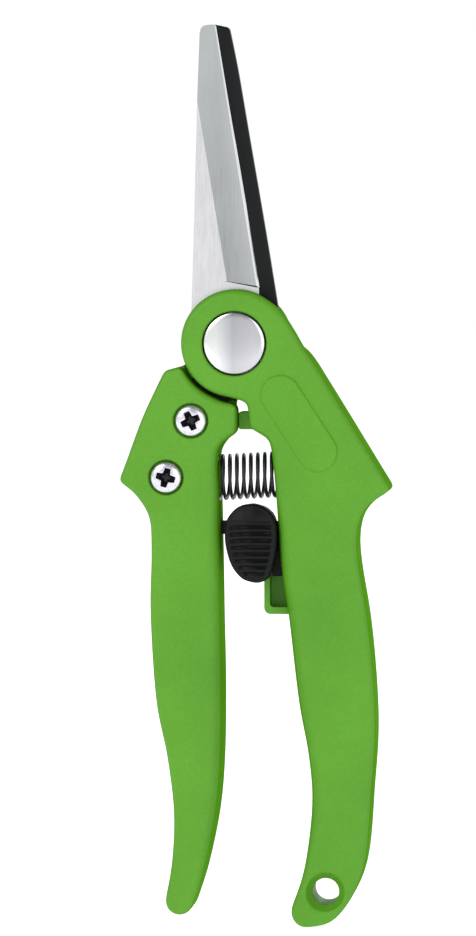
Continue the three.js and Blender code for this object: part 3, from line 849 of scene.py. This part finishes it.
def coil():
    """Close-wound end turns and an open middle, as one tube."""
    (x0, z0), (x1, z1) = SPRING_LEFT, SPRING_RIGHT
    steps, sides = int(SPRING_TURNS * 44), 12
    closed = 0.9
    span = x1 - x0
    tight = 2 * WIRE_R + 0.04
    pitch = (span - 2 * closed * tight) / (SPRING_TURNS - 2 * closed)
    verts, faces = [], []

    def centre(turn):
        if turn < closed:
            along = turn * tight
        elif turn > SPRING_TURNS - closed:
            along = span - (SPRING_TURNS - turn) * tight
        else:
            along = closed * tight + (turn - closed) * pitch
        a = 2 * math.pi * turn
        z = z0 + (z1 - z0) * along / span - SPRING_R * math.sin(a)
        return Vector((x0 + along, -SPRING_R * math.cos(a), z))

    for i in range(steps + 1):
        turn = SPRING_TURNS * i / steps
        p = centre(turn)
        tangent = (centre(min(turn + 0.003, SPRING_TURNS)) - centre(max(turn - 0.003, 0))).normalized()
        a = 2 * math.pi * turn
        radial = Vector((0, -math.cos(a), -math.sin(a)))
        side = tangent.cross(radial).normalized()
        radial = side.cross(tangent)
        for k in range(sides):
            b = 2 * math.pi * k / sides
            q = p + WIRE_R * (math.cos(b) * radial + math.sin(b) * side)
            verts.append(tuple(q))
    for i in range(steps):
        for k in range(sides):
            n = (k + 1) % sides
            faces.append([i * sides + k, i * sides + n, (i + 1) * sides + n, (i + 1) * sides + k])
    faces.append(list(range(sides)))
    faces.append([steps * sides + k for k in reversed(range(sides))])
    return make("spring_coil", verts, faces, SPRING_STEEL, 40)


spring = coil()
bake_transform(spring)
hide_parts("spring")

# ---------------------------------------------------------------- lock

button_outline = spline((4.0, -33.5), [
    (0.7, -34.3), (-1.6, -37.0), (-2.0, -40.1), (-1.7, -43.0), (-0.6, -46.5), (1.4, -49.1), (3.5, -50.0),
    (5.4, -50.1), (7.2, -49.1), (8.1, -46.6), (8.8, -43.0), (8.95, -39.5), (8.4, -36.5), (6.6, -34.4),
    (4.0, -33.5)], 8)[:-1]


def button_relief(points, rise):
    """A smooth cap, then nine ridges that run a little uphill to the right."""
    across = points[:, 0] - 3.3
    z = points[:, 1] - 0.035 * across + 0.012 * across**2
    start, pitch = -36.9, 1.42
    turn = (start - z) / pitch
    wave = 0.5 - 0.5 * np.cos(2 * np.pi * turn)
    band = np.clip(turn / 0.3, 0, 1) * np.clip((9.2 - turn) / 0.3, 0, 1)
    fade = blend_step(rise, 0.35)
    return -0.55 * (1 - wave**0.8) * band * fade


button = shell(
    "lock_thumb_button", even(button_outline, 0.22, 4), -1, lambda p, n: 0.9, face=8.42, base=BUTTON_BACK,
    crown=1.6, spacing=0.2, relief=button_relief, material=LOCK_BLACK, steps=10, lip=0.15,
)
# the cut that clears the spring when the lock is up, and the blind hole for the boss of its plate
room = lathe(
    "spring_room", [(0, -10), (SPRING_ROOM_R, -10), (SPRING_ROOM_R, 10), (0, 10)], (0, 0), LOCK_BLACK
)
room_centre = Vector((4, 0, SPRING_LEFT[1] - LOCK_UP)) * MM
room.data.transform(Matrix.Translation(room_centre) @ Matrix.Rotation(math.pi / 2, 4, "Z"))
boolean(button, room)
boss_hole = [(0, -4.5), (BOSS_HOLE_R, -4.5), (BOSS_HOLE_R, 0), (0, 0)]
boolean(button, lathe("boss_hole", boss_hole, BOSS, LOCK_BLACK, 48))
finish_piece(button, "lock", "lock_button", 50, False)


def refined(node, body, material):
    """A copy of a CAD node, welded, with its edges broken and a finished material."""
    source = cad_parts[node]
    verts = [source.matrix_world @ v.co / MM for v in source.data.vertices]
    piece = make(node + "_part", verts, [list(p.vertices) for p in source.data.polygons], material)
    round_edges(piece, 0.12)
    finish_piece(piece, body, node)


refined("lock_slide", "lock", LOCK_BLACK)
refined("lock_catch", "left_handle", COATING)

# ---------------------------------------------------------------- stage


def pale(name, colour, rough, glow):
    material, tree, bsdf = nodes_of(name)
    cloud = noise(tree, object_coords(tree), 0.004, 2.0)
    tone = ramp(tree, cloud, [(0.3, tuple(c * 0.985 for c in colour)), (0.7, colour)])
    link(tree, tone, "Color", bsdf, "Base Color")
    bsdf.inputs["Roughness"].default_value = rough
    link(tree, tone, "Color", bsdf, "Emission Color")
    bsdf.inputs["Emission Strength"].default_value = glow
    return material


FLOOR_R = 6.0  # metres
FLOOR_Z = -0.1228  # just under the ends of the handles

floor = bpy.data.meshes.new("floor")
bm = bmesh.new()
bmesh.ops.create_circle(bm, cap_ends=True, segments=96, radius=FLOOR_R)
bm.to_mesh(floor)
bm.free()
floor.materials.append(pale("pale_floor", (0.6, 0.6, 0.6), 0.95, 1.4))
floor_object = bpy.data.objects.new("floor", floor)
floor_object.location = (0, 0, FLOOR_Z)
bpy.context.scene.collection.objects.link(floor_object)

world = bpy.data.worlds.new("studio")
bpy.context.scene.world = world
world.use_nodes = True
tree = world.node_tree
direction = add_node(tree, "ShaderNodeTexCoord")
split = add_node(tree, "ShaderNodeSeparateXYZ")
link(tree, direction, "Generated", split, "Vector")
sky = ramp(tree, split, [(0.0, grey(1.0)), (0.16, grey(1.0)), (0.5, grey(0.42)), (1.0, grey(0.35))], "Z")
link(tree, sky, "Color", tree.nodes["Background"], "Color")
tree.nodes["Background"].inputs["Strength"].default_value = 1.01


def area_light(name, place, size, power, aim=(0.003, 0, -0.03)):
    light = bpy.data.lights.new(name, "AREA")
    light.shape = "RECTANGLE"
    light.size, light.size_y = size
    light.energy = power
    obj = bpy.data.objects.new(name, light)
    obj.location = place
    obj.rotation_mode = "QUATERNION"
    obj.rotation_quaternion = (Vector(aim) - Vector(place)).to_track_quat("-Z", "Y")
    bpy.context.scene.collection.objects.link(obj)


area_light("key", (-0.95, -1.2, 1.0), (1.2, 1.2), 16.0)
area_light("fill", (0.95, -1.4, 0.4), (1.1, 1.1), 6.0)
area_light("rear", (0.7, 1.2, 1.0), (1.2, 1.2), 14.0)

# ---------------------------------------------------------------- camera

SIZE_PX, SCALE, PIVOT_PX = (476, 936), 0.20925, (234.0, 343.5)
azimuth, elevation, distance = math.radians(5), math.radians(2.5), 1.2
centre = Vector(((SIZE_PX[0] / 2 - PIVOT_PX[0]) * SCALE, -6.5, (PIVOT_PX[1] - SIZE_PX[1] / 2) * SCALE)) * MM
level = math.cos(elevation)
back = Vector((math.sin(azimuth) * level, -math.cos(azimuth) * level, math.sin(elevation)))
camera = bpy.data.cameras.new("camera")
camera.sensor_width = 36
camera.lens = 18 / (SIZE_PX[1] * SCALE * MM / 2 / distance)
camera.dof.use_dof = False
camera_object = bpy.data.objects.new("camera", camera)
camera_object.location = centre + back * distance
camera_object.rotation_mode = "QUATERNION"
camera_object.rotation_quaternion = (-back).to_track_quat("-Z", "Y")
bpy.context.scene.collection.objects.link(camera_object)
bpy.context.scene.camera = camera_object
bpy.context.scene.view_settings.view_transform = "Standard"
